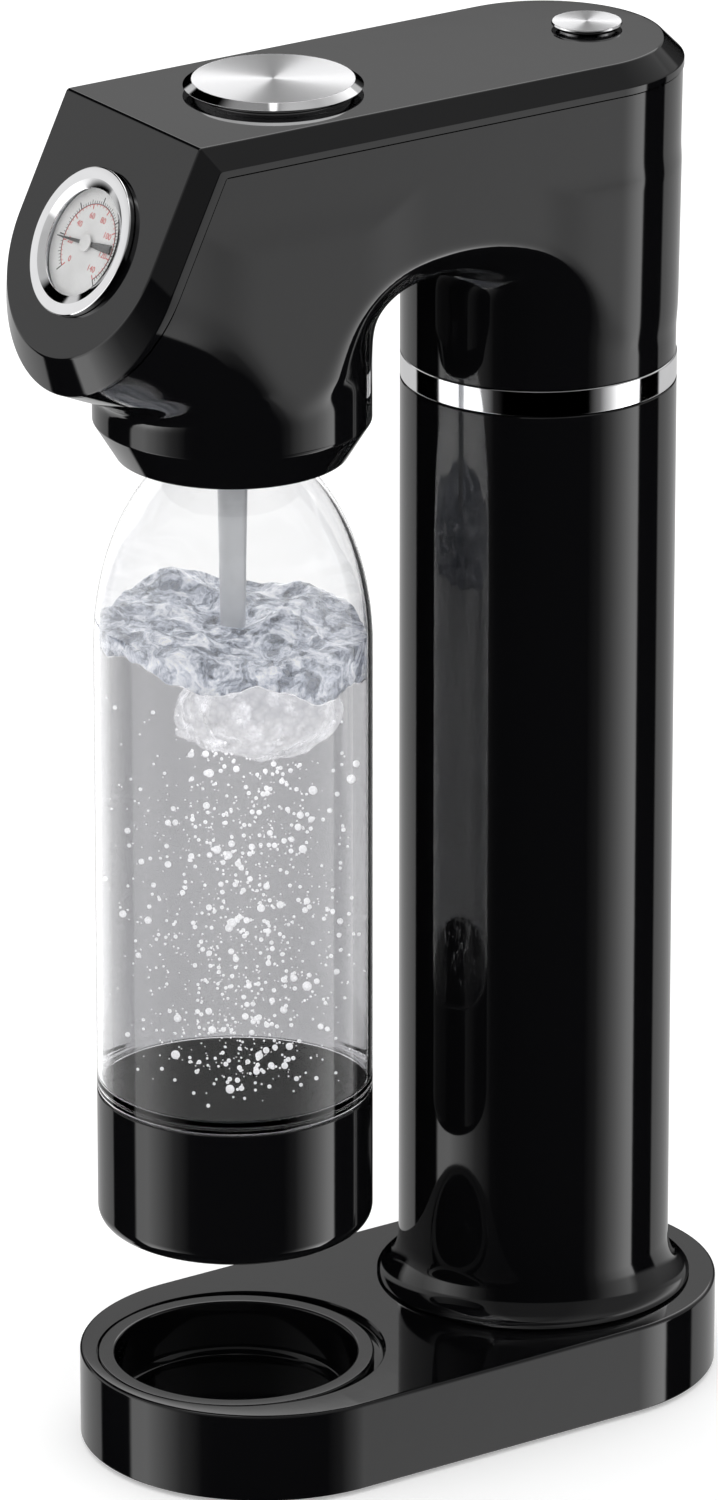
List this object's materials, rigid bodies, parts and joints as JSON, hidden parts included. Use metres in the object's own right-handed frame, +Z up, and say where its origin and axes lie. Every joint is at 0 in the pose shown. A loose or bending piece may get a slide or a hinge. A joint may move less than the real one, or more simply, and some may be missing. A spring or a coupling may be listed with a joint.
{
  "type": "soda carbonator",
  "caption": "Manual table-top soda carbonator: round column, overhanging head with press button and pressure gauge, clear bottle, gas cylinder inside the column.",
  "frame": {"origin": "on the table under the middle of the machine's bounding box", "axes": "+Z up, the gauge and bottle side faces -Y, +X is the machine's left as seen from its front"},
  "size_m": [0.1134, 0.2382, 0.4405],
  "materials": {
    "gloss_black": "high gloss black moulded plastic",
    "chrome": "polished chrome",
    "brushed_steel": "radially turned, satin",
    "brass": "machined",
    "steel": "plain",
    "inner_plastic": "fine matt",
    "grey_plastic": "semi-matt grey",
    "rubber": "matt",
    "cylinder_paint": "satin",
    "clear_plastic": "clear, glossy",
    "dial_print": "printed card",
    "needle_black": "matt"
  },
  "bodies": {
    "stand": {"base_bottom_plate": "inner_plastic", "base_screw_1": "steel", "base_screw_2": "steel", "base_screw_3": "steel", "base_screw_4": "steel", "base_shell": "gloss_black", "bottle_collar": "grey_plastic", "bottle_seal": "rubber", "carbonate_housing": "inner_plastic", "carbonate_spring": "steel", "chrome_ring": "chrome", "column_shell": "gloss_black", "cylinder_guide": "inner_plastic", "cylinder_socket": "steel", "foot_front_left": "rubber", "foot_front_right": "rubber", "foot_rear_left": "rubber", "foot_rear_right": "rubber", "gas_pipe": "steel", "gauge_bezel": "chrome", "gauge_case": "steel", "gauge_dial": "dial_print", "gauge_lens": "clear_plastic", "gauge_pipe": "brass", "head_body": "gloss_black", "head_cover": "gloss_black", "lever_bracket": "steel", "lever_pin": "steel", "mixing_block": "inner_plastic", "nozzle_tip": "grey_plastic", "nozzle_tube": "grey_plastic", "release_spring": "steel", "release_valve": "inner_plastic", "safety_valve": "brass", "vent_pipe": "grey_plastic"},
    "carbonate_button": {"carbonate_button": "brushed_steel", "carbonate_stem": "inner_plastic"},
    "valve_lever": {"valve_lever": "steel"},
    "valve_pin": {"valve_pin": "steel"},
    "release_button": {"release_button": "brushed_steel", "release_stem": "inner_plastic"},
    "gauge_needle": {"gauge_needle": "needle_black", "needle_hub": "dial_print"},
    "drip_cup": {"drip_cup": "gloss_black"},
    "bottle": {"bottle_body": "clear_plastic", "bottle_cup": "gloss_black"},
    "gas_cylinder": {"co2_cylinder": "cylinder_paint", "cylinder_valve": "brass"},
    "cylinder_hatch": {"cylinder_hatch": "inner_plastic"}
  },
  "joints": [
    {"name": "carbonate_press", "type": "slide", "parent": "stand", "child": "carbonate_button", "axis": [0, 0, -1], "range_m": [0, 0.0012], "stiffness_N_per_m": 2500, "springref_m": -0.002, "deforming": ["carbonate_spring"]},
    {"name": "lever_swing", "type": "hinge", "parent": "stand", "child": "valve_lever", "pos_m": [0, 0.09025, 0.403], "axis": [1, 0, 0], "range_deg": [0, 0.58]},
    {"name": "pin_press", "type": "slide", "parent": "stand", "child": "valve_pin", "axis": [0, 0, -1], "range_m": [0, 0.0003]},
    {"name": "release_press", "type": "slide", "parent": "stand", "child": "release_button", "axis": [0, 0, -1], "range_m": [0, 0.0006], "stiffness_N_per_m": 1200, "springref_m": -0.002, "deforming": ["release_spring"]},
    {"name": "needle_turn", "type": "hinge", "parent": "stand", "child": "gauge_needle", "pos_m": [0, -0.10345, 0.40122], "axis": [0, -0.8988, 0.4384], "range_deg": [-230.5, 39.5], "stiffness_Nm_per_rad": 0.0005},
    {"name": "drip_cup_lift", "type": "slide", "parent": "stand", "child": "drip_cup", "axis": [0, 0, 1], "range_m": [0, 0.015]},
    {"name": "bottle_drop", "type": "slide", "parent": "stand", "child": "bottle", "axis": [0, 0, -1], "range_m": [0, 0.029]},
    {"name": "cylinder_screw", "type": "hinge", "parent": "stand", "child": "gas_cylinder", "pos_m": [0, 0.06125, 0.2], "axis": [0, 0, 1], "range_deg": [0, 360]},
    {"name": "hatch_twist", "type": "hinge", "parent": "stand", "child": "cylinder_hatch", "pos_m": [0, 0.06125, 0.002], "axis": [0, 0, 1], "range_deg": [0, 45]}
  ],
  "couplings": [
    {"joint": "lever_swing", "follows": "carbonate_press", "rad_per_m": 7.9177},
    {"joint": "pin_press", "follows": "carbonate_press", "ratio": 0.22961}
  ]
}
